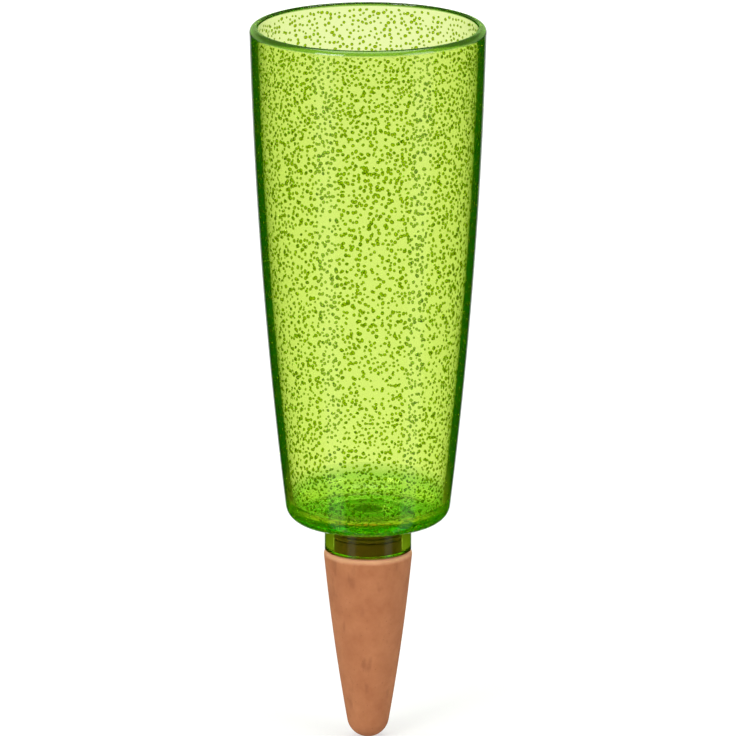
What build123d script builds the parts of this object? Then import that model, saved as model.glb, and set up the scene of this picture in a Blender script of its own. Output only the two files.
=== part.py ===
from build123d import *
import os

# Self watering spike: an open cup of clear plastic that feeds a porous clay cone.
# Millimetres and degrees, +Z up. The origin is the middle of the cone's shoulder,
# where the neck rests on the clay: the cone is pressed into the soil up to there.

# Reservoir cup, moulded with an even wall on a thicker floor
rim_diameter = 95.0
base_diameter = 65.4
cup_height = 204.3
cup_wall = 3.2
cup_floor = 4.6
side_bow = 2.55
base_round = 7.0
floor_round = 6.0
lip_flat = 0.3
lip_inner_round = 0.6

# Neck, welded under the floor of the cup
neck_diameter = 35.3
neck_length = 12.6
neck_wall = 3.6
neck_web = 2.2
neck_edge_round = 0.5
lead_in = 0.7
drain_diameter = 11.4
register_wall = 2.2

# Clay cone with its spigot and its hollow
cone_diameter = 36.3
cone_length = 80.0
cone_rim_round = 2.2
cone_tip_radius = 8.6
tip_flare = 9.85
bore_diameter = 17.0
hollow_end_diameter = 9.0
tip_wall = 9.0
spigot_chamfer = 0.8

# Sealing ring on the spigot
ring_section = 2.0
ring_drop = 3.4
groove_margin = 0.2

# Clearances
weld_gap = 0.1
socket_play = 0.3
head_play = 0.3
ring_play = 0.1

# Heights and radii that follow from these
rim_top = neck_length + cup_height
lip_outer_round = cup_wall - lip_flat - lip_inner_round
socket_radius = neck_diameter / 2 - neck_wall
socket_top = neck_length - neck_web
register_radius = drain_diameter / 2 + register_wall
hole_radius = register_radius + weld_gap
floor_top = neck_length + cup_floor
spigot_radius = socket_radius - socket_play
spigot_top = socket_top - head_play
ring_height = spigot_top - ring_drop
ring_radius = socket_radius - ring_play - ring_section / 2
groove_radius = ring_radius - ring_section / 2 - ring_play
groove_width = ring_section + 2 * groove_margin
hollow_end_radius = hollow_end_diameter / 2
hollow_bottom = tip_wall - cone_length

os.makedirs("parts", exist_ok=True)

# The cup: one skin line, from the floor's hole to the base and up the bowed side, thickened inwards to the wall.
# A pad makes the floor thicker, then the base, the floor's corner and the lip are rounded.
with BuildPart() as reservoir_cup:
    with BuildSketch(Plane.XZ) as cup_section:
        with BuildLine():
            floor_line = Line((hole_radius, neck_length), (base_diameter / 2, neck_length))
            side = SagittaArc(floor_line @ 1, (rim_diameter / 2, rim_top), -side_bow)
            offset(amount=cup_wall, side=Side.LEFT)
        make_face()
        with Locations(floor_line @ 0):
            Rectangle(base_diameter / 2 - hole_radius, cup_floor, align=(Align.MIN, Align.MIN))
        fillet(cup_section.vertices().sort_by_distance(floor_line @ 1)[0], base_round)
        inner_corner = (base_diameter / 2 - cup_wall, floor_top)
        fillet(cup_section.vertices().sort_by_distance(inner_corner)[0], floor_round)
        fillet(cup_section.vertices().sort_by_distance(side @ 1)[1], lip_inner_round)
        fillet(cup_section.vertices().sort_by_distance(side @ 1)[0], lip_outer_round)
    revolve(axis=Axis.Z)
reservoir_cup.part.label = "reservoir_cup"
export_step(reservoir_cup.part, "parts/reservoir_cup.step")

# The neck: a socket for the clay spigot, a web that closes its top,
# and a tube that centres it in the floor of the cup and lets the water through.
with BuildPart() as socket_neck:
    with BuildSketch(Plane.XZ) as neck_section:
        with BuildLine():
            Polyline(
                (socket_radius, 0),
                (neck_diameter / 2, 0),
                (neck_diameter / 2, neck_length),
                (register_radius, neck_length),
                (register_radius, floor_top),
                (drain_diameter / 2, floor_top),
                (drain_diameter / 2, socket_top),
                (socket_radius, socket_top),
                close=True,
            )
        make_face()
        chamfer(neck_section.vertices().group_by(Axis.Y)[0].sort_by(Axis.X)[0], lead_in)
        fillet(neck_section.vertices().group_by(Axis.Y)[0].sort_by(Axis.X)[-1], neck_edge_round)
    revolve(axis=Axis.Z)
socket_neck.part.label = "socket_neck"
export_step(socket_neck.part, "parts/socket_neck.step")

# The clay cone: a round tip that runs into bowed sides, a rounded shoulder, and the spigot above it.
with BuildPart() as clay_cone:
    with BuildSketch(Plane.XZ) as cone_section:
        with BuildLine():
            tip = JernArc((0, -cone_length), (1, 0), cone_tip_radius, 90 - tip_flare)
            flank = TangentArc(tip @ 1, (cone_diameter / 2, 0), tangent=tip % 1)
            Polyline(
                flank @ 1,
                (spigot_radius, 0),
                (spigot_radius, spigot_top),
                (0, spigot_top),
                tip @ 0,
            )
        make_face()
        fillet(cone_section.vertices().sort_by(Axis.X)[-1], cone_rim_round)
        chamfer(cone_section.vertices().group_by(Axis.Y)[-1].sort_by(Axis.X)[-1], spigot_chamfer)
    revolve(axis=Axis.Z)
    # Hollow: a tapered bore with a round end, as a core leaves it in the clay
    with BuildSketch(Plane.XZ) as hollow_section:
        with BuildLine():
            hollow_end = JernArc((0, hollow_bottom), (1, 0), hollow_end_radius, 90)
            Polyline(hollow_end @ 1, (bore_diameter / 2, spigot_top), (0, spigot_top), hollow_end @ 0)
        make_face()
    revolve(axis=Axis.Z, mode=Mode.SUBTRACT)
    # Groove for the sealing ring
    with BuildSketch(Plane.XZ) as groove_section:
        with Locations((groove_radius, ring_height)):
            Rectangle(socket_radius, groove_width, align=(Align.MIN, Align.CENTER))
    revolve(axis=Axis.Z, mode=Mode.SUBTRACT)
clay_cone.part.label = "clay_cone"
export_step(clay_cone.part, "parts/clay_cone.step")

# The sealing ring, drawn as it lies squeezed between the groove and the socket
with BuildPart() as sealing_ring:
    with BuildSketch(Plane.XZ) as ring_profile:
        with Locations((ring_radius, ring_height)):
            Circle(ring_section / 2)
    revolve(axis=Axis.Z)
sealing_ring.part.label = "sealing_ring"
export_step(sealing_ring.part, "parts/sealing_ring.step")
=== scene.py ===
# %% [markdown]
# # A self watering spike, finished in Blender
#
# The object is a tall open cup of clear green plastic, full of small air bubbles, on a short clear neck.
# Under the neck sits a hollow cone of bare fired clay. The cone is pressed into the soil,
# the cup is filled, and the clay lets the water out slowly.
# The solids and their joints are already packed as a fixed frame, so this lesson makes only the looks:
# finely turned meshes in place of the solids, the bubbles in the wall, the finishes, and a small studio.

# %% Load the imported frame
import math

import bpy
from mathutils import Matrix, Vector


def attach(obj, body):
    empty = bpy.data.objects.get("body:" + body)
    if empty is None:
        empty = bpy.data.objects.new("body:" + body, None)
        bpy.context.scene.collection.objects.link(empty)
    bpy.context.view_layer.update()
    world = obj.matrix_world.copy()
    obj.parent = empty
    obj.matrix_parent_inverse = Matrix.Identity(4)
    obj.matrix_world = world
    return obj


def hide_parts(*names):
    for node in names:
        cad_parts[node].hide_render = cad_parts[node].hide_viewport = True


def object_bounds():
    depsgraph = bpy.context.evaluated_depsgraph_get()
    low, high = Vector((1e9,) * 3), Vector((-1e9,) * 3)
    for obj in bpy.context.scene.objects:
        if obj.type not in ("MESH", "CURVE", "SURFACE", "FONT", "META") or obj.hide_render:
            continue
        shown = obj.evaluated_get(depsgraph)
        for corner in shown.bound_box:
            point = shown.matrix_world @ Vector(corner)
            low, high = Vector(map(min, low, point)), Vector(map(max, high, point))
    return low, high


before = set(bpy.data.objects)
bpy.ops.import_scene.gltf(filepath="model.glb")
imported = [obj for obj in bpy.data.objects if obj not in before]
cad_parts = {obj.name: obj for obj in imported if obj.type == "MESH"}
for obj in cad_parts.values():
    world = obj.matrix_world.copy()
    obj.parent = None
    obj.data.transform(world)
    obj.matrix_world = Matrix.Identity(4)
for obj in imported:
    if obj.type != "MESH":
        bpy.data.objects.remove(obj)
cad_low, cad_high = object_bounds()

# %% [markdown]
# ## The sizes
#
# The spike is round, so a few diameters, heights and rounds say all of its shape. They are the sizes of the
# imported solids, in millimetres, with zero at the soil line, where the neck rests on the clay.
# One could measure the solids instead, but a finish also has to know where the floor, the lip
# and the shoulder are, and a named size says so in one word.

# %% Sizes of the cup and the neck, in millimetres
RIM_DIAMETER = 95.0
BASE_DIAMETER = 65.4
CUP_HEIGHT = 204.3
CUP_WALL = 3.2
CUP_FLOOR = 4.6
SIDE_BOW = 2.55
BASE_ROUND = 7.0
FLOOR_ROUND = 6.0
LIP_FLAT = 0.3
LIP_INNER_ROUND = 0.6
NECK_DIAMETER = 35.3
NECK_LENGTH = 12.6
NECK_WALL = 3.6
NECK_WEB = 2.2
DRAIN_DIAMETER = 11.4
REGISTER_WALL = 2.2
WELD_GAP = 0.1
LEAD_IN = 0.7

rim_top = NECK_LENGTH + CUP_HEIGHT
floor_top = NECK_LENGTH + CUP_FLOOR
print("floor at", floor_top, "mm, lip at", rim_top, "mm")

# %% Sizes of the clay cone and the sealing ring, in millimetres
CONE_DIAMETER = 36.3
CONE_LENGTH = 80.0
CONE_RIM_ROUND = 2.2
TIP_RADIUS = 8.6
TIP_FLARE = math.radians(9.85)
BORE_DIAMETER = 17.0
HOLLOW_END_DIAMETER = 9.0
TIP_WALL = 9.0
SPIGOT_CHAMFER = 0.8
SOCKET_PLAY = 0.3
HEAD_PLAY = 0.3
RING_SECTION = 2.0
RING_DROP = 3.4
RING_PLAY = 0.1
GROOVE_WIDTH = 2.4

socket_radius = NECK_DIAMETER / 2 - NECK_WALL
socket_top = NECK_LENGTH - NECK_WEB
spigot_radius = socket_radius - SOCKET_PLAY
spigot_top = socket_top - HEAD_PLAY
print("spigot", round(2 * spigot_radius, 2), "mm across and", round(spigot_top, 2), "mm high")

# %% [markdown]
# ## Helpers
#
# A material and a geometry tree are both nodes with settings and links. One function adds a node,
# sets its options, lays the stops of a colour ramp, and fills its inputs, with a value or with a link.
# Colours are written as sRGB hex, as a colour picker shows them. Blender calculates in linear light,
# so a second function turns the hex value into linear numbers.

# %% Helpers for nodes, colours and objects
MM = 0.001


def add(tree, kind, inputs=None, stops=None, **options):
    """Adds a node: options are attributes, inputs are values or links, stops fill a colour ramp."""
    node = tree.nodes.new(kind)
    for name, value in options.items():
        setattr(node, name, value)
    for i, (position, colour) in enumerate((stops or {}).items()):
        ramp = node.color_ramp.elements
        stop = ramp[i] if i < len(ramp) else ramp.new(position)
        stop.position = position
        stop.color = colour
    for name, value in (inputs or {}).items():
        if isinstance(value, bpy.types.NodeSocket):
            tree.links.new(value, node.inputs[name])
        else:
            node.inputs[name].default_value = value
    return node


def linear(hex_colour):
    """An sRGB hex colour as linear red, green, blue and a full alpha."""
    shares = [int(hex_colour[i:i + 2], 16) / 255 for i in (1, 3, 5)]
    return (*[s / 12.92 if s <= 0.04045 else ((s + 0.055) / 1.055) ** 2.4 for s in shares], 1.0)


def new_material(name):
    """An empty material with its node tree and output node."""
    made = bpy.data.materials.new(name)
    made.use_nodes = True
    made.node_tree.nodes.clear()
    return made, made.node_tree, made.node_tree.nodes.new("ShaderNodeOutputMaterial")


def put(name, data):
    """A new object of the given data, put into the scene."""
    made = bpy.data.objects.new(name, data)
    bpy.context.scene.collection.objects.link(made)
    return made


CLEAR = (1, 1, 1, 1)
print("a middle grey of sRGB is", round(linear("#808080")[0], 3), "in linear light")

# %% [markdown]
# ## The clear green plastic
#
# The cup is moulded from clear styrene, tinted all through and polished by the mould.
# Such a plastic takes its colour from its thickness: one wall looks pale yellow-green,
# and where the eye looks along the wall it turns deep green. Painting the surface green would miss that,
# so the surface is clear and an absorbing volume fills the wall.
# A moulded wall is never quite even, so a faint ripple bends the reflections a little.
# Lamps shine through: a shadow ray passes the surface, and only the volume takes light away from it.
# The neck is the same plastic, a little deeper in colour. Only a small share of the lamps' light passes it,
# which lays a painted shade on the clay inside.

# %% Styrene: polished outside, tinted in its depth
PLASTIC_IOR = 1.57
TINT = linear("#ECFA71")
CUP_DENSITY = 315.0
CUP_LAMP_SHARE = 1.0
NECK_DENSITY = 360.0
# The neck's small lamp share is a painted shade on the clay inside it.
NECK_LAMP_SHARE = 0.15
RIPPLE_LENGTH = 14 * MM
RIPPLE_HEIGHT = 0.02 * MM
RIPPLE_DETAIL = 1.0


def pass_lamps(tree, out, seen, share=1.0):
    """Shows a shader to the eye, but lets a share of the lamps' light straight through."""
    passing = add(tree, "ShaderNodeBsdfTransparent", {"Color": (share, share, share, 1)})
    rays = add(tree, "ShaderNodeLightPath")
    both = add(tree, "ShaderNodeMixShader", {
        0: rays.outputs["Is Shadow Ray"], 1: seen, 2: passing.outputs["BSDF"],
    })
    tree.links.new(both.outputs["Shader"], out.inputs["Surface"])


def clear_plastic(name, density, lamp_share):
    """Clear tinted plastic, with sharp reflections, a pale body and deep green edges."""
    made, tree, out = new_material(name)
    place = add(tree, "ShaderNodeTexCoord").outputs["Object"]
    ripple = add(tree, "ShaderNodeTexNoise", {
        "Vector": place, "Scale": 1 / RIPPLE_LENGTH, "Detail": RIPPLE_DETAIL,
    })
    relief = add(tree, "ShaderNodeBump", {"Height": ripple.outputs["Fac"], "Distance": RIPPLE_HEIGHT})
    surface = add(tree, "ShaderNodeBsdfPrincipled", {
        "Base Color": CLEAR, "Roughness": 0.0, "IOR": PLASTIC_IOR, "Transmission Weight": 1.0,
        "Normal": relief.outputs["Normal"],
    })
    pass_lamps(tree, out, surface.outputs["BSDF"], lamp_share)
    depth = add(tree, "ShaderNodeVolumeAbsorption", {"Color": TINT, "Density": density})
    tree.links.new(depth.outputs["Volume"], out.inputs["Volume"])
    return made, surface, relief


cup_plastic, cup_surface, cup_relief = clear_plastic("clear_green_styrene_cup", CUP_DENSITY, CUP_LAMP_SHARE)
neck_plastic, neck_surface, _ = clear_plastic("clear_green_styrene_neck", NECK_DENSITY, NECK_LAMP_SHARE)
print("styrene with index", PLASTIC_IOR, "for the cup and the neck")

# %% [markdown]
# ## The cup's floor and lip
#
# On the cup the floor looks a fuller, cooler green than a wall of that thickness, and the outer part of the
# lip looks darker, because the paper seen through them near the spike lies in shade. One could give them
# their own volume, but a ray has to leave the volume that it entered: with two volumes in one closed mesh it
# stays tinted for good, and the floor turns black. So the depth stays the same everywhere, and the light
# takes on a little more colour where it passes the skin of the floor and of the lip: a painted shade. The
# floor's painted shade fades on its way up the wall.
# Handling has also frosted the lip a little.
# The spike is turned about one axis, so two numbers say where a point is: its distance from the axis
# and its height. Both come from Object coordinates, which travel with the piece.

# %% Where a point is, and how far it is on the floor or on the lip
# In millimetres: the floor's painted shade begins this far inside the base and below the floor's top,
# and fades between these heights above it. The lip's painted shade is this wide, and sets in between these
# depths.
BASE_MARGIN = 1.4
FLOOR_MARGIN = 0.2
FLOOR_SHADE_UP_WALL = (6.0, 12.5)
LIP_WIDTH = 1.9
LIP_DEPTH = (2.0, 1.6)


def where(tree):
    """Sockets with a point's place, its place on the level, its distance from the axis and its height."""
    place = add(tree, "ShaderNodeTexCoord").outputs["Object"]
    level = add(tree, "ShaderNodeVectorMath", {0: place, 1: (1, 1, 0)}, operation="MULTIPLY").outputs[0]
    radius = add(tree, "ShaderNodeVectorMath", {0: level}, operation="LENGTH").outputs["Value"]
    height = add(tree, "ShaderNodeSeparateXYZ", {"Vector": place}).outputs["Z"]
    return place, level, radius, height


floor_edge = BASE_DIAMETER / 2 - BASE_MARGIN
lip_edge = RIM_DIAMETER / 2 - LIP_WIDTH
cup_tree = cup_plastic.node_tree
cup_place, _, cup_radius, cup_height = where(cup_tree)
inside_floor = add(cup_tree, "ShaderNodeMath", {0: cup_radius, 1: floor_edge * MM}, operation="LESS_THAN")
over_floor = add(cup_tree, "ShaderNodeMath", {0: cup_height, 1: (floor_top - FLOOR_MARGIN) * MM},
                 operation="GREATER_THAN")
floor_shade_fade = add(cup_tree, "ShaderNodeMapRange", {
    "Value": cup_height, "From Min": (floor_top + FLOOR_SHADE_UP_WALL[0]) * MM,
    "From Max": (floor_top + FLOOR_SHADE_UP_WALL[1]) * MM, "To Min": inside_floor.outputs[0], "To Max": 0.0,
})
floor_shade_share = add(cup_tree, "ShaderNodeMath", {0: over_floor.outputs[0], 1: floor_shade_fade.outputs["Result"]},
               operation="MULTIPLY")
outer_lip = add(cup_tree, "ShaderNodeMath", {0: cup_radius, 1: lip_edge * MM}, operation="GREATER_THAN")
lip_shade_and_frost = add(cup_tree, "ShaderNodeMapRange", {
    "Value": cup_height, "From Min": (rim_top - LIP_DEPTH[0]) * MM,
    "From Max": (rim_top - LIP_DEPTH[1]) * MM, "To Max": outer_lip.outputs[0],
})
# The floor skin and the lip skin are painted shade.
print("floor skin inside", floor_edge, "mm, lip skin outside", lip_edge, "mm")

# %% The painted shade that light takes on at the skin of the floor and of the lip
FLOOR_PAINTED_SHADE = linear("#8CC264")
LIP_PAINTED_SHADE = linear("#6AA02C")
LIP_FROST = 0.28
# The Mix node keeps its colour sockets at these places.
COLOUR_A, COLOUR_B, COLOUR_OUT = 6, 7, 2

cup_painted_shade = CLEAR
for share, skin in ((floor_shade_share.outputs[0], FLOOR_PAINTED_SHADE), (lip_shade_and_frost.outputs["Result"], LIP_PAINTED_SHADE)):
    cup_painted_shade = add(cup_tree, "ShaderNodeMix", {
        "Factor": share, COLOUR_A: cup_painted_shade, COLOUR_B: skin,
    }, data_type="RGBA").outputs[COLOUR_OUT]
unfrosted = add(cup_tree, "ShaderNodeMath", {0: lip_shade_and_frost.outputs["Result"], 1: -LIP_FROST, 2: 1.0},
                operation="MULTIPLY_ADD")
cup_tree.links.new(cup_painted_shade, cup_surface.inputs["Base Color"])
cup_tree.links.new(unfrosted.outputs[0], cup_surface.inputs["Transmission Weight"])
print("cup plastic of", len(cup_tree.nodes), "nodes")

# %% [markdown]
# ## The pebbled base
#
# Round the base the plastic shows a grain of light and dark green, because the underside of the cup
# is not polished. Carving each pebble into the mesh would cost many faces for something a millimetre wide,
# so a second noise joins the ripple in the bump, and it fades out on the way up the round of the base.

# %% Grain under the cup
PEBBLE = 1.3 * MM
PEBBLE_STRENGTH = 10.0
PEBBLE_DETAIL = 1.0
# They fade between these heights above the base, in millimetres.
PEBBLES_UP = (2.9, 4.4)

pebbles = add(cup_tree, "ShaderNodeTexNoise", {
    "Vector": cup_place, "Scale": 1 / PEBBLE, "Detail": PEBBLE_DETAIL,
})
on_base = add(cup_tree, "ShaderNodeMapRange", {
    "Value": cup_height, "From Min": (NECK_LENGTH + PEBBLES_UP[0]) * MM,
    "From Max": (NECK_LENGTH + PEBBLES_UP[1]) * MM, "To Min": PEBBLE_STRENGTH, "To Max": 0.0,
})
cup_ripple = cup_relief.inputs["Height"].links[0].from_socket
pebbled = add(cup_tree, "ShaderNodeMath", {
    0: pebbles.outputs["Fac"], 1: on_base.outputs["Result"], 2: cup_ripple,
}, operation="MULTIPLY_ADD")
cup_tree.links.new(pebbled.outputs[0], cup_relief.inputs["Height"])
print("pebbles of", PEBBLE / MM, "mm, up to", PEBBLES_UP[1], "mm above the base")

# %% [markdown]
# ## A painted reflection of the clay under the neck
#
# A clean end face of the neck would work as a mirror and draw a bright green ring that the real spike
# doesn't have. So the lowest part of the neck is neither clear nor green, but opaque and clay brown: a
# painted reflection of the clay below it.

# %% The neck's end, painted with the clay's reflection
CLAY_REFLECTION_BROWN = linear("#8A5530")
PAINTED_END_TO = 0.25

neck_tree = neck_plastic.node_tree
*_, neck_height = where(neck_tree)
polished = add(neck_tree, "ShaderNodeMath", {0: neck_height, 1: PAINTED_END_TO * MM}, operation="GREATER_THAN")
painted_end = add(neck_tree, "ShaderNodeMix", {
    "Factor": polished.outputs[0], COLOUR_A: CLAY_REFLECTION_BROWN, COLOUR_B: CLEAR,
}, data_type="RGBA")
neck_tree.links.new(painted_end.outputs[COLOUR_OUT], neck_surface.inputs["Base Color"])
neck_tree.links.new(polished.outputs[0], neck_surface.inputs["Transmission Weight"])
# The brown end is a painted reflection of the clay.
print("dust on the lowest", PAINTED_END_TO, "mm of the neck")

# %% [markdown]
# ## The air in the bubbles
#
# A bubble is a hole in the plastic. Light that leaves the plastic for air bends the other way,
# so the shell of a bubble has an index of one over the plastic's, with its faces pointing outwards.
# Such a shell is a small lens with a dark rim and a bright heart. In the side of the real cup the bubbles
# are softer, plain olive specks, as if their inside were not polished. A rough inside would need many
# samples, so most of the light passes straight through an olive shell, and the lens bends the rest.
# In the floor they stay lenses, which pass the light from one to the next and make the floor glow.
# Near the foot they are almost without colour and show as pale flecks.

# %% Air, seen from inside the plastic
OLIVE_SHELL = linear("#DBE745")
OLIVE_HAZE = linear("#D0DC49")
PALE_SHELL = linear("#F9FFDA")
SIDE_HAZE = 0.75
AIR_IOR = 1 / PLASTIC_IOR


def bubble_air(name, shell_tint, haze_share=0.0):
    """Air in the plastic: a small dark-rimmed lens under a share of olive haze."""
    made, tree, out = new_material(name)
    shell = add(tree, "ShaderNodeBsdfGlass", {"Color": shell_tint, "Roughness": 0.0, "IOR": AIR_IOR})
    haze = add(tree, "ShaderNodeBsdfTransparent", {"Color": OLIVE_HAZE})
    hazy = add(tree, "ShaderNodeMixShader", {
        0: haze_share, 1: shell.outputs["BSDF"], 2: haze.outputs["BSDF"],
    })
    pass_lamps(tree, out, hazy.outputs["Shader"])
    return made


side_air = bubble_air("air_in_styrene_side", OLIVE_SHELL, SIDE_HAZE)
floor_air = bubble_air("air_in_styrene_floor", OLIVE_SHELL)
foot_air = bubble_air("air_in_styrene_foot", PALE_SHELL)
print("bubble shells with index", round(AIR_IOR, 3))

# %% [markdown]
# ## Fired clay
#
# The cone is unglazed terracotta, cast in a plaster mould and fired. It is matte and chalky, orange-brown,
# and no two centimetres of it are the same: the clay clouds lighter and darker, thumbs and tools leave
# faint upright smears, and fine grit shows through. A single brown would look like plastic.
# Each of these marks is one noise at its own real size, laid over the last.

# %% Terracotta: clouds in the clay
CLOUD = 9 * MM
CLOUD_DETAIL = 5.0
CLOUD_ROUGHNESS = 0.6
# The browns of the clay, by how strong the cloud is.
CLAY_BROWNS = {0.32: linear("#AD6A43"), 0.7: linear("#BF7C52")}

clay, clay_tree, clay_out = new_material("terracotta_fired")
clay_place, *_, clay_height = where(clay_tree)
clouds = add(clay_tree, "ShaderNodeTexNoise", {
    "Vector": clay_place, "Scale": 1 / CLOUD, "Detail": CLOUD_DETAIL, "Roughness": CLOUD_ROUGHNESS,
})
clay_body = add(clay_tree, "ShaderNodeValToRGB", {"Fac": clouds.outputs["Fac"]}, CLAY_BROWNS)
print("clouds of", CLOUD / MM, "mm between two browns")

# %% Terracotta: smears and grit
SMEAR = 5 * MM
SMEAR_DETAIL = 3.0
SMEAR_DRAWN = (1, 1, 0.4)
SMEARED_FROM = (0.6, 0.74)
SMEAR_SHARE = 0.35
SMEAR_BROWN = linear("#7E452A")
GRIT = 2.6 * MM
GRIT_EDGE = (0.07, 0.13)
GRIT_SHARE = 0.4
GRIT_BROWN = linear("#8C5034")

drawn = add(clay_tree, "ShaderNodeVectorMath", {0: clay_place, 1: SMEAR_DRAWN}, operation="MULTIPLY")
smears = add(clay_tree, "ShaderNodeTexNoise", {
    "Vector": drawn.outputs["Vector"], "Scale": 1 / SMEAR, "Detail": SMEAR_DETAIL,
})
smeared = add(clay_tree, "ShaderNodeMapRange", {
    "Value": smears.outputs["Fac"], "From Min": SMEARED_FROM[0], "From Max": SMEARED_FROM[1],
    "To Max": SMEAR_SHARE,
})
grit = add(clay_tree, "ShaderNodeTexVoronoi", {"Vector": clay_place, "Scale": 1 / GRIT})
specks = add(clay_tree, "ShaderNodeMapRange", {
    "Value": grit.outputs["Distance"], "From Min": GRIT_EDGE[0], "From Max": GRIT_EDGE[1],
    "To Min": GRIT_SHARE, "To Max": 0.0,
})
print("smears of", SMEAR / MM, "mm, a grain of grit every", GRIT / MM, "mm")

# %% [markdown]
# ## The painted highlight on the shoulder and the painted shade on the spigot
#
# The round edge of the shoulder, where the light from above catches it, is painted a paler clay with a
# ragged
# border: a painted highlight. Above it the spigot, inside the neck under the cup, is painted dark: a painted
# shade.
# One could paint both by hand on an unwrapped cone, but both follow the height, so a height with a little of
# the clouds added is enough.

# %% Terracotta: painted highlight on the shoulder, painted shade on the spigot
SHOULDER_HIGHLIGHT_CLAY = linear("#F2B48C")
SHOULDER_HIGHLIGHT_FROM = (-2.2, 0.4)
SHOULDER_HIGHLIGHT_SHARE = 0.85
HIGHLIGHT_RAGGED = 1.6
# The spigot's dark clay is painted shade.
SPIGOT_SHADE_CLAY = linear("#70432A")
SPIGOT_SHADE_FROM = (0.1, 0.6)

ragged_highlight = add(clay_tree, "ShaderNodeMath", {0: clouds.outputs["Fac"], 1: HIGHLIGHT_RAGGED * MM, 2: clay_height},
             operation="MULTIPLY_ADD")
shoulder_highlight = add(clay_tree, "ShaderNodeMapRange", {
    "Value": ragged_highlight.outputs[0], "From Min": SHOULDER_HIGHLIGHT_FROM[0] * MM, "From Max": SHOULDER_HIGHLIGHT_FROM[1] * MM,
    "To Max": SHOULDER_HIGHLIGHT_SHARE,
}, interpolation_type="SMOOTHSTEP")
spigot_shade = add(clay_tree, "ShaderNodeMapRange", {
    "Value": clay_height, "From Min": SPIGOT_SHADE_FROM[0] * MM, "From Max": SPIGOT_SHADE_FROM[1] * MM,
})
clay_colour = clay_body.outputs["Color"]
for mark, brown in ((smeared, SMEAR_BROWN), (specks, GRIT_BROWN), (shoulder_highlight, SHOULDER_HIGHLIGHT_CLAY), (spigot_shade, SPIGOT_SHADE_CLAY)):
    clay_colour = add(clay_tree, "ShaderNodeMix", {
        "Factor": mark.outputs["Result"], COLOUR_A: clay_colour, COLOUR_B: brown,
    }, data_type="RGBA").outputs[COLOUR_OUT]
# The shoulder's paler band is a painted highlight, and the darker spigot a painted shade.
print("shoulder rubbed from", SHOULDER_HIGHLIGHT_FROM[0], "mm, spigot damp from", SPIGOT_SHADE_FROM[0], "mm")

# %% Terracotta: chalky grain and soft dents
GRAIN = 0.9 * MM
GRAIN_DETAIL = 4.0
GRAIN_HEIGHT = 0.09 * MM
DENT_HEIGHT = 0.5 * MM
CLAY_IOR = 1.5
CLAY_ROUGHNESS = 0.92

grain = add(clay_tree, "ShaderNodeTexNoise", {
    "Vector": clay_place, "Scale": 1 / GRAIN, "Detail": GRAIN_DETAIL,
})
grained = add(clay_tree, "ShaderNodeBump", {"Height": grain.outputs["Fac"], "Distance": GRAIN_HEIGHT})
dented = add(clay_tree, "ShaderNodeBump", {
    "Height": clouds.outputs["Fac"], "Distance": DENT_HEIGHT, "Normal": grained.outputs["Normal"],
})
clay_surface = add(clay_tree, "ShaderNodeBsdfPrincipled", {
    "Base Color": clay_colour, "Roughness": CLAY_ROUGHNESS, "IOR": CLAY_IOR,
    "Normal": dented.outputs["Normal"],
})
clay_tree.links.new(clay_surface.outputs["BSDF"], clay_out.inputs["Surface"])
print("terracotta of", len(clay_tree.nodes), "nodes")

# %% [markdown]
# ## Silicone
#
# The sealing ring is moulded silicone, coloured to go with the clay and a little cloudy, with a soft gloss
# between rubber and plastic. It hardly shows, so two browns and one haze are enough.

# %% Silicone, red-brown and satin
HAZE = 3 * MM
HAZE_DETAIL = 2.0
SILICONE_BROWNS = {0.0: linear("#663C26"), 1.0: linear("#74482F")}
SILICONE_IOR = 1.41
SILICONE_ROUGHNESS = 0.55

silicone, silicone_tree, silicone_out = new_material("silicone_red_brown")
silicone_place = add(silicone_tree, "ShaderNodeTexCoord").outputs["Object"]
haze = add(silicone_tree, "ShaderNodeTexNoise", {
    "Vector": silicone_place, "Scale": 1 / HAZE, "Detail": HAZE_DETAIL,
})
silicone_body = add(silicone_tree, "ShaderNodeValToRGB", {"Fac": haze.outputs["Fac"]}, SILICONE_BROWNS)
silicone_surface = add(silicone_tree, "ShaderNodeBsdfPrincipled", {
    "Base Color": silicone_body.outputs["Color"], "Roughness": SILICONE_ROUGHNESS, "IOR": SILICONE_IOR,
})
silicone_tree.links.new(silicone_surface.outputs["BSDF"], silicone_out.inputs["Surface"])
print("silicone with a haze of", HAZE / MM, "mm")

# %% [markdown]
# ## Outlines
#
# Every piece of the spike is turned about one axis, so each is drawn as half a section: a closed line
# of corners, given as radius and height in millimetres, each with the radius that it is rounded by.
# A bevel after the turning would round every edge alike, but here the base, the lip and the shoulder
# each have their own round, and even a sharp moulded edge has a small one that catches the light.
# Beside each round a support point keeps the smooth shading from running into the flat face.

# %% An outline with rounded corners
ARC_STEP = math.radians(9)
FEWEST_STEPS = 2
SUPPORT = 0.2


def rounded(corners):
    """Points of an outline, with each corner (radius, height, round) turned into an arc."""
    points = []
    for i, (radius, height, round_by) in enumerate(corners):
        corner = Vector((radius, height))
        if not round_by:
            points.append(corner)
            continue
        back = (Vector(corners[i - 1][:2]) - corner).normalized()
        ahead = (Vector(corners[(i + 1) % len(corners)][:2]) - corner).normalized()
        half = back.angle(ahead) / 2
        middle = corner + (back + ahead).normalized() * (round_by / math.sin(half))
        reach = round_by / math.tan(half)
        start, end = corner + back * reach - middle, corner + ahead * reach - middle
        bend = math.copysign(math.pi - 2 * half, start.x * end.y - start.y * end.x)
        steps = max(FEWEST_STEPS, math.ceil(abs(bend) / ARC_STEP))
        points.append(middle + start + back * SUPPORT)
        for k in range(steps + 1):
            c, s = math.cos(bend * k / steps), math.sin(bend * k / steps)
            points.append(middle + Vector((c * start.x - s * start.y, s * start.x + c * start.y)))
        points.append(middle + end + ahead * SUPPORT)
    return points


print("a round has a point every", round(math.degrees(ARC_STEP)), "degrees")

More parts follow.
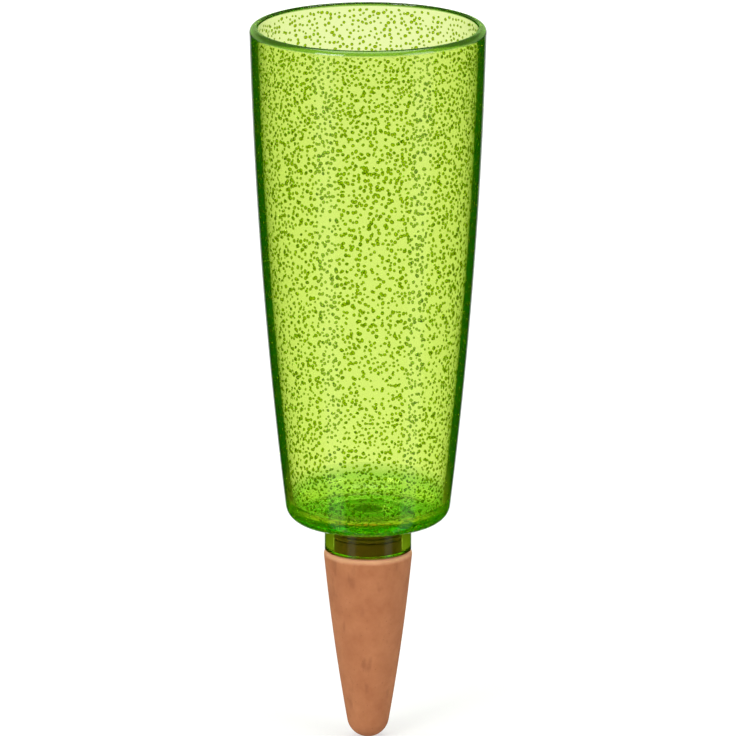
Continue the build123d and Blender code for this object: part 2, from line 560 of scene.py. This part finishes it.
# %% [markdown]
# ## The cup's section
#
# The side of the cup swells a little on its way up, as a part of a large circle. The circle comes from
# the two ends of the side and the bow between them, and the inner side lies one wall further in.
# A straight taper would be simpler, but half-way up it would miss the real cup by over two millimetres.

# %% The bowed side
base_corner = Vector((BASE_DIAMETER / 2, NECK_LENGTH))
rim_corner = Vector((RIM_DIAMETER / 2, rim_top))
chord = rim_corner - base_corner
side_radius = chord.length ** 2 / (8 * SIDE_BOW) + SIDE_BOW / 2
outward = Vector((chord.y, -chord.x)).normalized()
side_middle = (base_corner + rim_corner) / 2 - outward * (side_radius - SIDE_BOW)
base_angle = math.atan2(base_corner.y - side_middle.y, base_corner.x - side_middle.x)
rim_angle = math.atan2(rim_corner.y - side_middle.y, rim_corner.x - side_middle.x)


def on_side(depth, share):
    """A point of the bowed side, at a depth below the skin, from the base (0) to the rim (1)."""
    a = base_angle + (rim_angle - base_angle) * share
    return side_middle + (side_radius - depth) * Vector((math.cos(a), math.sin(a)))


print("the side is part of a circle of", round(side_radius), "mm radius")

# %% Outline of the cup
SIDE_STEPS = 24
# The side's own points start above the rounds of the base and of the floor.
FIRST_STEP = 2
EDGE = 0.2

side_shares = [k / SIDE_STEPS for k in range(FIRST_STEP, SIDE_STEPS)]
inner_radius = side_middle.x + math.sqrt((side_radius - CUP_WALL) ** 2 - (floor_top - side_middle.y) ** 2)
register_radius = DRAIN_DIAMETER / 2 + REGISTER_WALL
hole_radius = register_radius + WELD_GAP
cup_outline = rounded([
    (hole_radius, NECK_LENGTH, EDGE),
    (*base_corner, BASE_ROUND),
    *[(*on_side(0, share), 0) for share in side_shares],
    (*rim_corner, CUP_WALL - LIP_FLAT - LIP_INNER_ROUND),
    (*on_side(CUP_WALL, 1), LIP_INNER_ROUND),
    *[(*on_side(CUP_WALL, share), 0) for share in reversed(side_shares)],
    (inner_radius, floor_top, FLOOR_ROUND),
    (hole_radius, floor_top, EDGE),
])
print("cup outline of", len(cup_outline), "points")

# %% [markdown]
# ## The neck's section
#
# The neck is a socket for the clay, with a web across its top and a tube that fills the hole in the
# cup's floor. Where it meets the cup and the clay it stays a twentieth of a millimetre short. Two faces in
# one plane would flicker, because a ray can't tell which of them it meets first.

# %% Outline of the neck
SEAM = 0.05
END_ROUND = 0.15
WEB_ROUND = 0.1

neck_outline = rounded([
    (socket_radius + LEAD_IN, SEAM, EDGE),
    (NECK_DIAMETER / 2, SEAM, END_ROUND),
    (NECK_DIAMETER / 2, NECK_LENGTH - SEAM, EDGE),
    (register_radius, NECK_LENGTH - SEAM, WEB_ROUND),
    (register_radius, floor_top, EDGE),
    (DRAIN_DIAMETER / 2, floor_top, EDGE),
    (DRAIN_DIAMETER / 2, socket_top, EDGE),
    (socket_radius, socket_top, EDGE),
    (socket_radius, LEAD_IN, EDGE),
])
print("neck outline of", len(neck_outline), "points")

# %% [markdown]
# ## The cone's section
#
# The cone starts as a round tip, and from there its flank runs in one arc up to the shoulder.
# The arc leaves the tip in the direction in which the tip ends, so no crease shows between them.
# Above the shoulder stands the spigot with a groove for the ring, and inside is the hollow that
# a core leaves in the clay.

# %% Tip and flank of the cone
TIP_STEPS = 14
FLANK_STEPS = 36

tip_middle = Vector((0, TIP_RADIUS - CONE_LENGTH))
tip_end = tip_middle + TIP_RADIUS * Vector((math.cos(TIP_FLARE), -math.sin(TIP_FLARE)))
across = Vector((-math.cos(TIP_FLARE), math.sin(TIP_FLARE)))
to_shoulder = Vector((CONE_DIAMETER / 2, 0)) - tip_end
flank_radius = to_shoulder.length_squared / (2 * across.dot(to_shoulder))
flank_middle = tip_end + across * flank_radius
flank_from = math.atan2(tip_end.y - flank_middle.y, tip_end.x - flank_middle.x)
flank_to = math.atan2(-flank_middle.y, CONE_DIAMETER / 2 - flank_middle.x)


def arc(middle, radius, start, end, steps, count):
    """The first corners of an arc that is cut into steps, without rounds."""
    turns = [start + (end - start) * k / steps for k in range(count)]
    return [(middle.x + radius * math.cos(a), middle.y + radius * math.sin(a), 0) for a in turns]


tip_line = arc(tip_middle, TIP_RADIUS, -math.pi / 2, -TIP_FLARE, TIP_STEPS, TIP_STEPS)
flank_line = arc(flank_middle, abs(flank_radius), flank_from, flank_to, FLANK_STEPS, FLANK_STEPS - 1)
print("flank of", round(abs(flank_radius)), "mm radius")

# %% Outline of the cone
HOLLOW_STEPS = 10

ring_height = spigot_top - RING_DROP
ring_radius = socket_radius - RING_PLAY - RING_SECTION / 2
groove_radius = ring_radius - RING_SECTION / 2 - RING_PLAY
hollow_end_radius = HOLLOW_END_DIAMETER / 2
hollow_middle = Vector((0, TIP_WALL - CONE_LENGTH + hollow_end_radius))
cone_outline = rounded([
    *tip_line, *flank_line,
    (CONE_DIAMETER / 2, 0, CONE_RIM_ROUND),
    (spigot_radius, 0, EDGE),
    (spigot_radius, ring_height - GROOVE_WIDTH / 2, EDGE),
    (groove_radius, ring_height - GROOVE_WIDTH / 2, EDGE),
    (groove_radius, ring_height + GROOVE_WIDTH / 2, EDGE),
    (spigot_radius, ring_height + GROOVE_WIDTH / 2, EDGE),
    (spigot_radius, spigot_top - SPIGOT_CHAMFER, EDGE),
    (spigot_radius - SPIGOT_CHAMFER, spigot_top, EDGE),
    (BORE_DIAMETER / 2, spigot_top, EDGE),
    *arc(hollow_middle, hollow_end_radius, 0, -math.pi / 2, HOLLOW_STEPS, HOLLOW_STEPS + 1),
])
print("cone outline of", len(cone_outline), "points")

# %% Outline of the ring
RING_STEPS = 32

ring_middle = Vector((ring_radius, ring_height))
ring_outline = rounded(arc(ring_middle, RING_SECTION / 2, 0, math.tau, RING_STEPS, RING_STEPS))
print("ring outline of", len(ring_outline), "points")

# %% [markdown]
# ## Turning the outlines
#
# Blender has a Screw modifier and a Spin tool for such shapes. Here a geometry tree does it:
# it sweeps the outline round a small circle. All four pieces share it, with the outline and the material
# as inputs. The circle has a radius of one millimetre, so the outline is drawn that much nearer to the axis.
# The points are laid in reverse, so that the faces point outwards. At the tip and at the end of the hollow
# the steps meet in one point, and merging closes these poles.

# %% Helpers for outlines and geometry trees
PATH_RADIUS = 1.0


def outline_curve(name, points, closed):
    """A curve of an outline, laid so that the sweep round the path puts it at its own radius."""
    curve = bpy.data.curves.new(name, "CURVE")
    curve.dimensions = "2D"
    curve.fill_mode = "NONE"
    spline = curve.splines.new("POLY")
    spline.points.add(len(points) - 1)
    for laid, point in zip(spline.points, reversed(points)):
        laid.co = ((point.x - PATH_RADIUS) * MM, -point.y * MM, 0, 1)
    spline.use_cyclic_u = closed
    return put(name, curve)


def new_tree(name, sockets):
    """A geometry tree with a geometry going in and out, and named inputs of the given kinds."""
    tree = bpy.data.node_groups.new(name, "GeometryNodeTree")
    tree.interface.new_socket("Geometry", in_out="INPUT", socket_type="NodeSocketGeometry")
    for label, kind in sockets.items():
        tree.interface.new_socket(label, in_out="INPUT", socket_type="NodeSocket" + kind)
    tree.interface.new_socket("Geometry", in_out="OUTPUT", socket_type="NodeSocketGeometry")
    return tree, tree.nodes.new("NodeGroupInput").outputs, tree.nodes.new("NodeGroupOutput").inputs


def sweep(tree, outline, segments):
    """The faces that an outline leaves when it is swept round the path."""
    path = add(tree, "GeometryNodeCurvePrimitiveCircle", {
        "Resolution": segments, "Radius": PATH_RADIUS * MM,
    })
    swept = add(tree, "GeometryNodeCurveToMesh", {"Curve": path.outputs["Curve"], "Profile Curve": outline})
    return swept.outputs["Mesh"]


def dress(tree, geometry, finish, out):
    """Makes a geometry real and smooth, gives it its material and hands it out of the tree."""
    real = add(tree, "GeometryNodeRealizeInstances", {"Geometry": geometry})
    smooth = add(tree, "GeometryNodeSetShadeSmooth", {"Geometry": real.outputs["Geometry"]})
    dressed = add(tree, "GeometryNodeSetMaterial", {
        "Geometry": smooth.outputs["Geometry"], "Material": finish,
    })
    tree.links.new(dressed.outputs["Geometry"], out["Geometry"])


print("outlines are swept round a circle of", PATH_RADIUS, "mm radius")

# %% The turning tree
SEGMENTS = 180
MERGE = 0.002 * MM

turn, turn_in, turn_out = new_tree("turn_outline", {"Material": "Material"})
merged = add(turn, "GeometryNodeMergeByDistance", {
    "Geometry": sweep(turn, turn_in["Geometry"], SEGMENTS), "Distance": MERGE,
})
dress(turn, merged.outputs["Geometry"], turn_in["Material"], turn_out)
print("turning tree of", len(turn.nodes), "nodes")

# %% From an outline to a plain mesh
def grown(name, points, closed, tree, settings):
    """Runs a geometry tree on an outline and keeps the result as a plain mesh object at the origin."""
    source = outline_curve(name + "_outline", points, closed)
    modifier = source.modifiers.new(tree.name, "NODES")
    modifier.node_group = tree
    for item in tree.interface.items_tree:
        if item.in_out == "INPUT" and item.name in settings:
            modifier[item.identifier] = settings[item.name]
    seen = source.evaluated_get(bpy.context.evaluated_depsgraph_get())
    made = put(name, bpy.data.meshes.new_from_object(seen))
    made.data.name = name
    source.modifiers.remove(modifier)
    bpy.data.objects.remove(source)
    made.data.calc_loop_triangles()
    return made


def turned(name, outline, finish):
    """A turned piece, which prints its volume: a negative one would mean that its faces point inwards."""
    made = grown(name, outline, True, turn, {"Material": finish})
    volume = 0
    for face in made.data.loop_triangles:
        a, b, c = (made.data.vertices[i].co for i in face.vertices)
        volume += a.dot(b.cross(c)) / 6
    print(name, "has", len(made.data.loop_triangles), "triangles and", round(volume / MM ** 3), "mm3")
    return made


cup = turned("bubble_cup", cup_outline, cup_plastic)
neck = turned("clear_neck", neck_outline, neck_plastic)
cone = turned("fired_clay_cone", cone_outline, clay)
ring = turned("silicone_ring", ring_outline, silicone)

# %% [markdown]
# ## Bubbles in the wall
#
# The wall and the floor hold thousands of small air bubbles, from half a millimetre to almost two across.
# They lie at all depths of the wall, a little apart and in loose swarms, and the flow of the plastic
# has drawn some of them out. A noise in the material could draw dark dots, but they would stay flat
# on the skin. Real hollows show on the near and on the far wall, and bend the light as they should.
# There are too many to model by hand, so a geometry tree scatters them over a surface inside the wall.
# A random value chooses the size of each bubble, smaller ones more often, and another moves it in or out
# as far as it has room in the wall.

# %% The bubble tree: where the bubbles are
SCATTER_SEGMENTS = 240
SWARM = 7 * MM
SWARM_DETAIL = 1.0
SWARM_RANGE = (0.3, 0.62)
THINNEST = 0.8

scatter, scatter_in, scatter_out = new_tree("scatter_bubbles", {
    "Density": "Float", "Smallest": "Float", "Largest": "Float", "Wall": "Float", "Apart": "Float",
    "Stretch": "Float", "Seed": "Int", "Material": "Material",
})
swarms = add(scatter, "ShaderNodeTexNoise", {"Scale": 1 / SWARM, "Detail": SWARM_DETAIL})
crowd = add(scatter, "ShaderNodeMapRange", {
    "Value": swarms.outputs["Fac"], "From Min": SWARM_RANGE[0], "From Max": SWARM_RANGE[1],
    "To Min": THINNEST,
})
spread = add(scatter, "GeometryNodeDistributePointsOnFaces", {
    "Mesh": sweep(scatter, scatter_in["Geometry"], SCATTER_SEGMENTS), "Distance Min": scatter_in["Apart"],
    "Density Max": scatter_in["Density"], "Density Factor": crowd.outputs["Result"],
    "Seed": scatter_in["Seed"],
}, distribute_method="POISSON")
print("bubbles swarm every", SWARM / MM, "mm")

# %% The bubble tree: how large they are, and how deep they lie
SMALL_BIAS = 1.4
HALF_ROOM = 0.42
DEPTH_SEED = 7

chance = add(scatter, "FunctionNodeRandomValue", {"Min": 0.0, "Max": 1.0, "Seed": scatter_in["Seed"]})
biased = add(scatter, "ShaderNodeMath", {0: chance.outputs["Value"], 1: SMALL_BIAS}, operation="POWER")
width = add(scatter, "ShaderNodeMapRange", {
    "Value": biased.outputs[0], "To Min": scatter_in["Smallest"], "To Max": scatter_in["Largest"],
}).outputs["Result"]
room = add(scatter, "ShaderNodeMath", {0: scatter_in["Wall"], 1: width}, operation="SUBTRACT")
way = add(scatter, "FunctionNodeRandomValue", {"Min": -HALF_ROOM, "Max": HALF_ROOM, "Seed": DEPTH_SEED})
sink = add(scatter, "ShaderNodeMath", {0: room.outputs[0], 1: way.outputs["Value"]}, operation="MULTIPLY")
inwards = add(scatter, "ShaderNodeVectorMath", {0: spread.outputs["Normal"], "Scale": sink.outputs[0]},
              operation="SCALE")
placed = add(scatter, "GeometryNodeSetPosition", {
    "Geometry": spread.outputs["Points"], "Offset": inwards.outputs["Vector"],
})
print("a bubble moves in or out by up to", HALF_ROOM, "of the room beside it")

# %% The bubble tree: their form
STRETCH_SEED = 11
TWIST_SEED = 5
BALL_RADIUS = 0.5
BALL_STEPS = 2

drawn_out = add(scatter, "FunctionNodeRandomValue", {
    "Min": 1.0, "Max": scatter_in["Stretch"], "Seed": STRETCH_SEED,
})
long_way = add(scatter, "ShaderNodeMath", {0: width, 1: drawn_out.outputs["Value"]}, operation="MULTIPLY")
form = add(scatter, "ShaderNodeCombineXYZ", {"X": long_way.outputs[0], "Y": width, "Z": width})
heading = add(scatter, "FunctionNodeRandomValue", {"Min": 0.0, "Max": math.tau, "Seed": TWIST_SEED})
twist = add(scatter, "FunctionNodeAxisAngleToRotation", {
    "Axis": (0, 0, 1), "Angle": heading.outputs["Value"],
})
lie = add(scatter, "FunctionNodeRotateRotation", {
    "Rotation": spread.outputs["Rotation"], "Rotate By": twist.outputs["Rotation"],
}, rotation_space="LOCAL")
ball = add(scatter, "GeometryNodeMeshIcoSphere", {"Radius": BALL_RADIUS, "Subdivisions": BALL_STEPS})
swarm = add(scatter, "GeometryNodeInstanceOnPoints", {
    "Points": placed.outputs["Geometry"], "Instance": ball.outputs["Mesh"], "Scale": form.outputs["Vector"],
    "Rotation": lie.outputs["Rotation"],
})
dress(scatter, swarm.outputs["Instances"], scatter_in["Material"], scatter_out)
print("bubble tree of", len(scatter.nodes), "nodes")

# %% [markdown]
# ## Bands of bubbles
#
# The bubbles are finest and closest in the base, largest and fewest in the middle of the side,
# and fine and close again under the lip. One density for all would look like a print.
# So the wall is cut into bands, each with its own count and sizes. The bands are pieces of their own,
# which also keeps each mesh light. A last band follows the outer round of the foot, close under the skin.

# %% Scatter the bubbles
# Each band: from, to as shares of the side, bubbles thrown per square metre, smallest and largest in mm.
# A bubble that falls too near to another is left out.
BANDS = {
    "low": (0.05, 0.25, 285000, 0.85, 1.55),
    "below_middle": (0.25, 0.45, 215000, 0.9, 1.65),
    "middle": (0.45, 0.65, 180000, 1.0, 1.75),
    "above_middle": (0.65, 0.82, 265000, 0.95, 1.7),
    "high": (0.82, 0.985, 455000, 0.85, 1.5),
}
BASE_BAND = (420000, 0.65, 1.2)
FOOT_BAND = (300000, 0.5, 1.0)
FOOT_START = 18.0
FOOT_DEPTH = 0.9
FOOT_ROOM = 1.7
BAND_STEPS = 20
FLOOR_APART = 1.2
SIDE_APART = 1.5
STRETCH = 1.35
HOLE_MARGIN = 1.2

half_wall = CUP_WALL / 2
floor_middle = NECK_LENGTH + CUP_FLOOR / 2
base_line = rounded([
    (hole_radius + HOLE_MARGIN, floor_middle, 0),
    (inner_radius + half_wall, floor_middle, BASE_ROUND - CUP_FLOOR / 2),
    (*on_side(half_wall, BANDS["low"][0]), 0),
])
foot_line = rounded([
    (FOOT_START, NECK_LENGTH + FOOT_DEPTH, 0),
    (BASE_DIAMETER / 2 - FOOT_DEPTH, NECK_LENGTH + FOOT_DEPTH, BASE_ROUND - FOOT_DEPTH),
    (*on_side(FOOT_DEPTH, BANDS["low"][0]), 0),
])
bands = {"base": (base_line, *BASE_BAND, CUP_WALL, FLOOR_APART, floor_air)}
for band, (low, high, *counts) in BANDS.items():
    line = [on_side(half_wall, low + (high - low) * k / BAND_STEPS) for k in range(BAND_STEPS + 1)]
    bands[band] = (line, *counts, CUP_WALL, SIDE_APART, side_air)
bands["foot"] = (foot_line, *FOOT_BAND, FOOT_ROOM, FLOOR_APART, foot_air)
bubbles = []
for seed, (band, facts) in enumerate(bands.items()):
    line, density, smallest, largest, wall, apart, air = facts
    made = grown("wall_bubbles_" + band, line, False, scatter, {
        "Density": float(density), "Smallest": smallest * MM, "Largest": largest * MM,
        "Wall": wall * MM, "Apart": apart * MM, "Stretch": STRETCH, "Seed": seed, "Material": air,
    })
    print(made.name, "has", len(made.data.loop_triangles), "triangles")
    bubbles.append(made)

# %% [markdown]
# ## Riding on the frame
#
# The cup, its bubbles and the neck are one body, the reservoir, which turns on the clay and lifts off it.
# Each turned piece stands for its solid. The bubbles stand for none: they are holes in the cup,
# and travel with it.

# %% Ride and replace
turned_pieces = (
    (cup, "reservoir", "reservoir_cup", "bubble_plastic"),
    (neck, "reservoir", "socket_neck", "clear_plastic"),
    (cone, "clay_cone", "clay_cone", "terracotta"),
    (ring, "sealing_ring", "sealing_ring", "silicone"),
)
for piece, body, node, slot in turned_pieces:
    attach(piece, body)
    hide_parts(node)
for piece in bubbles:
    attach(piece, "reservoir")
print(len(turned_pieces), "turned pieces and", len(bubbles), "bands of bubbles ride on the frame")

# %% [markdown]
# ## The studio: white paper
#
# Clear plastic is photographed in bright field: white paper under and behind it, and dark cards
# just outside the picture, which draw its edges. A card in the scene would stand in the way of other views,
# so the paper itself plays the card. It answers a ray by the way the ray came.
# Seen by the camera, or straight through the plastic, it is white paper with the spike's shadow,
# and far away it glows fully, so that no horizon shows.

# %% Paper, as the camera and the clear plastic see it
PAPER_HALF = 6.0
PAPER = linear("#F2F2F2")
PAPER_WHITE = 1.36
SEEN_GLOW = 0.4
PLASTIC_GLOW = 0.55
GLOW_FULL_BETWEEN = (0.4, 1.0)

corners = [(-1, -1), (1, -1), (1, 1), (-1, 1)]
paper_mesh = bpy.data.meshes.new("paper_floor")
sheet = [(x * PAPER_HALF, y * PAPER_HALF, cad_low.z) for x, y in corners]
paper_mesh.from_pydata(sheet, [], [range(len(sheet))])
paper_floor = put("paper_floor", paper_mesh)

paper, paper_tree, paper_out = new_material("white_paper")
paper_mesh.materials.append(paper)
paper_rays = add(paper_tree, "ShaderNodeLightPath").outputs
_, paper_level, paper_radius, _ = where(paper_tree)
seen_glow = add(paper_tree, "ShaderNodeMapRange", {
    "Value": paper_radius, "From Min": GLOW_FULL_BETWEEN[0], "From Max": GLOW_FULL_BETWEEN[1],
    "To Min": SEEN_GLOW,
})
plastic_glow = add(paper_tree, "ShaderNodeMath", {0: paper_rays["Is Transmission Ray"], 1: PLASTIC_GLOW},
                   operation="MULTIPLY")
glow_share = add(paper_tree, "ShaderNodeMath", {
    0: paper_rays["Is Camera Ray"], 1: seen_glow.outputs["Result"], 2: plastic_glow.outputs[0],
}, operation="MULTIPLY_ADD")
matte = add(paper_tree, "ShaderNodeBsdfDiffuse", {"Color": PAPER})
glow = add(paper_tree, "ShaderNodeEmission", {"Strength": PAPER_WHITE})
lit_paper = add(paper_tree, "ShaderNodeMixShader", {
    0: glow_share.outputs[0], 1: matte.outputs["BSDF"], 2: glow.outputs["Emission"],
})
print("paper of", 2 * PAPER_HALF, "m at", round(cad_low.z / MM, 1), "mm")

# %% [markdown]
# ## The studio: cards and panels
#
# A ray that was mirrored at least once meets the cards instead. Mirrored outside the plastic, it finds
# the dark, a bright strip behind the spike, and two narrow panels in front, which draw the soft upright
# lines on the neck. Mirrored inside the plastic, it finds a card: pale near the spike, then olive,
# then deep green, which makes the dark edges of the cup. A ray that the bubbles sent to and fro,
# through three skins or more, ends in an olive shade.

# %% Paper, as mirrored rays see it: direct mirror images
STRIP_FROM = (0.91, 0.98)
STRIP_STRENGTH = 0.9
PANELS = ((-0.68, -0.73, 0), (0.81, -0.58, 0))
PANEL_FROM = (0.97, 0.99)
PANEL_STRENGTH = 0.35

bearing = add(paper_tree, "ShaderNodeVectorMath", {0: paper_level}, operation="NORMALIZE").outputs[0]
behind = add(paper_tree, "ShaderNodeSeparateXYZ", {"Vector": bearing})
mirrored = add(paper_tree, "ShaderNodeMapRange", {
    "Value": behind.outputs["Y"], "From Min": STRIP_FROM[0], "From Max": STRIP_FROM[1],
    "To Max": STRIP_STRENGTH,
}).outputs["Result"]
for panel in PANELS:
    facing = add(paper_tree, "ShaderNodeVectorMath", {0: bearing, 1: panel}, operation="DOT_PRODUCT")
    lit_panel = add(paper_tree, "ShaderNodeMapRange", {
        "Value": facing.outputs["Value"], "From Min": PANEL_FROM[0], "From Max": PANEL_FROM[1],
        "To Max": PANEL_STRENGTH,
    })
    mirrored = add(paper_tree, "ShaderNodeMath", {0: mirrored, 1: lit_panel.outputs["Result"]},
                   operation="ADD").outputs[0]
print("panels:", len(PANELS))

# %% Paper, as mirrored rays see it: cards
# The card's rings: at this distance from the axis in metres, this colour.
CARD_RINGS = {0.22: linear("#C4D37C"), 0.30: linear("#7C863F"), 0.36: linear("#1F690A")}
OLIVE = linear("#ADB600")
# A ray's depths are whole numbers: these part none from one, and two from three.
ONCE = 0.5
WANDERED = 2.5

card = add(paper_tree, "ShaderNodeValToRGB", {"Fac": paper_radius}, CARD_RINGS)
skins = paper_rays["Transmission Depth"]
inside = add(paper_tree, "ShaderNodeMath", {0: skins, 1: ONCE}, operation="GREATER_THAN")
wandered = add(paper_tree, "ShaderNodeMath", {0: skins, 1: WANDERED}, operation="GREATER_THAN")
dark = mirrored
for case, colour in ((inside, card.outputs["Color"]), (wandered, OLIVE)):
    dark = add(paper_tree, "ShaderNodeMix", {
        "Factor": case.outputs[0], COLOUR_A: dark, COLOUR_B: colour,
    }, data_type="RGBA").outputs[COLOUR_OUT]
dark_paper = add(paper_tree, "ShaderNodeEmission", {"Color": dark})
was_mirrored = add(paper_tree, "ShaderNodeMath", {0: paper_rays["Glossy Depth"], 1: ONCE},
                   operation="GREATER_THAN")
answered = add(paper_tree, "ShaderNodeMixShader", {
    0: was_mirrored.outputs[0], 1: lit_paper.outputs["Shader"], 2: dark_paper.outputs["Emission"],
})
paper_tree.links.new(answered.outputs["Shader"], paper_out.inputs["Surface"])
print("paper of", len(paper_tree.nodes), "nodes")

# %% [markdown]
# ## The studio: the room above the paper
#
# The room is white to the camera and gives an even light. The plastic sees it as a white backdrop
# that ends at some height. Rays caught inside the plastic leave it upwards at all angles, and these decide
# the green of the base and of the neck: low down the room is green, further up it is a warm white,
# and overhead it is a dim grey. What the skin mirrors of the room is green as well.

# %% World
ROOM_LIGHT = 0.4
BACKDROP_ENDS = (0.26, 0.42)
ABOVE_BACKDROP = 0.25
# The room for rays caught inside the plastic: at this height of a direction, from 0 to 1, this colour.
CAUGHT = {0.28: linear("#97EA38"), 0.34: linear("#FFFFA0"), 0.72: linear("#FFFFA0"), 0.9: linear("#8A8A6A")}
CAUGHT_STRENGTH = 1.7
MIRRORED_ROOM = linear("#AADA7C")

world = bpy.data.worlds.new("studio_room")
world.use_nodes = True
bpy.context.scene.world = world
room_tree = world.node_tree
room_tree.nodes.clear()
room_rays = add(room_tree, "ShaderNodeLightPath").outputs
direction = add(room_tree, "ShaderNodeTexCoord").outputs["Generated"]
upwards = add(room_tree, "ShaderNodeSeparateXYZ", {"Vector": direction}).outputs["Z"]
backdrop = add(room_tree, "ShaderNodeMapRange", {
    "Value": upwards, "From Min": BACKDROP_ENDS[0], "From Max": BACKDROP_ENDS[1],
    "To Min": PAPER_WHITE, "To Max": ABOVE_BACKDROP,
})
by_plastic = add(room_tree, "ShaderNodeMath", {
    0: room_rays["Is Transmission Ray"], 1: room_rays["Is Glossy Ray"],
}, operation="MAXIMUM")
unseen = add(room_tree, "ShaderNodeMix", {
    "Factor": by_plastic.outputs[0], "A": ROOM_LIGHT, "B": backdrop.outputs["Result"],
})
strength = add(room_tree, "ShaderNodeMix", {
    "Factor": room_rays["Is Camera Ray"], "A": unseen.outputs["Result"], "B": 1.0,
})
room_colour = add(room_tree, "ShaderNodeMix", {
    "Factor": room_rays["Is Glossy Ray"], COLOUR_A: CLEAR, COLOUR_B: MIRRORED_ROOM,
}, data_type="RGBA")
plain_room = add(room_tree, "ShaderNodeBackground", {
    "Color": room_colour.outputs[COLOUR_OUT], "Strength": strength.outputs["Result"],
})
caught_colour = add(room_tree, "ShaderNodeValToRGB", {"Fac": upwards}, CAUGHT)
caught_room = add(room_tree, "ShaderNodeBackground", {
    "Color": caught_colour.outputs["Color"], "Strength": CAUGHT_STRENGTH,
})
trapped = add(room_tree, "ShaderNodeMath", {
    0: room_rays["Glossy Depth"], 1: room_rays["Transmission Depth"],
}, operation="MINIMUM")
caught = add(room_tree, "ShaderNodeMath", {0: trapped.outputs[0], 1: ONCE}, operation="GREATER_THAN")
room_shade = add(room_tree, "ShaderNodeMixShader", {
    0: caught.outputs[0], 1: plain_room.outputs["Background"], 2: caught_room.outputs["Background"],
})
add(room_tree, "ShaderNodeOutputWorld", {"Surface": room_shade.outputs["Shader"]})
print("room of", len(room_tree.nodes), "nodes")

# %% [markdown]
# ## Lamps
#
# Three large softboxes light the clay from the left, more weakly from the right, and from above,
# so that its round form shows without a hard shadow. Small lamps would put sharp sparks on the cup.

# %% Softboxes
SPIKE_MIDDLE = (0, 0, 0.05)
# Each softbox: where it stands, where it aims, its side in metres and its watts.
SOFTBOXES = {
    "key_softbox": ((-1.7, -2.1, 1.35), SPIKE_MIDDLE, 1.4, 42),
    "fill_softbox": ((2.0, -1.5, 1.2), SPIKE_MIDDLE, 1.4, 20),
    "top_softbox": ((0, 0.4, 2.6), (0, 0, 0), 2.0, 30),
}

for name, (stand, aim, side, watts) in SOFTBOXES.items():
    lamp = bpy.data.lights.new(name, "AREA")
    lamp.shape = "SQUARE"
    lamp.size = side
    lamp.energy = watts
    softbox = put(name, lamp)
    softbox.location = stand
    softbox.rotation_euler = (Vector(aim) - Vector(stand)).to_track_quat("-Z", "Y").to_euler()
    print(name, "of", watts, "W")

# %% [markdown]
# ## Camera
#
# The photograph was taken with a long lens, looking down a little: the ellipses of the mouth and of
# the floor give the angle, and how their widths compare gives the distance.
# Light passes many skins of plastic and bubbles, so the rays get more bounces than Blender's default.

# %% Camera, view and bounces
TARGET_HEIGHT = 75.69 * MM
ELEVATION = math.radians(15.08)
DISTANCE = 3.0
LENS = 363.3
SENSOR = 36.0
FAR_CLIP = 50
SKIN_BOUNCES = 32
MIRROR_BOUNCES = 16
CLEAR_PASSES = 48

target = Vector((0, 0, TARGET_HEIGHT))
lens = bpy.data.cameras.new("photo_camera")
lens.lens = LENS
lens.sensor_width = SENSOR
lens.clip_end = FAR_CLIP
camera = put("photo_camera", lens)
camera.location = target + DISTANCE * Vector((0, -math.cos(ELEVATION), math.sin(ELEVATION)))
camera.rotation_euler = (target - camera.location).to_track_quat("-Z", "Y").to_euler()
scene = bpy.context.scene
scene.camera = camera
scene.view_settings.view_transform = "Standard"
scene.cycles.max_bounces = SKIN_BOUNCES
scene.cycles.transmission_bounces = SKIN_BOUNCES
scene.cycles.glossy_bounces = MIRROR_BOUNCES
scene.cycles.transparent_max_bounces = CLEAR_PASSES
print("camera at", [round(c, 3) for c in camera.location])
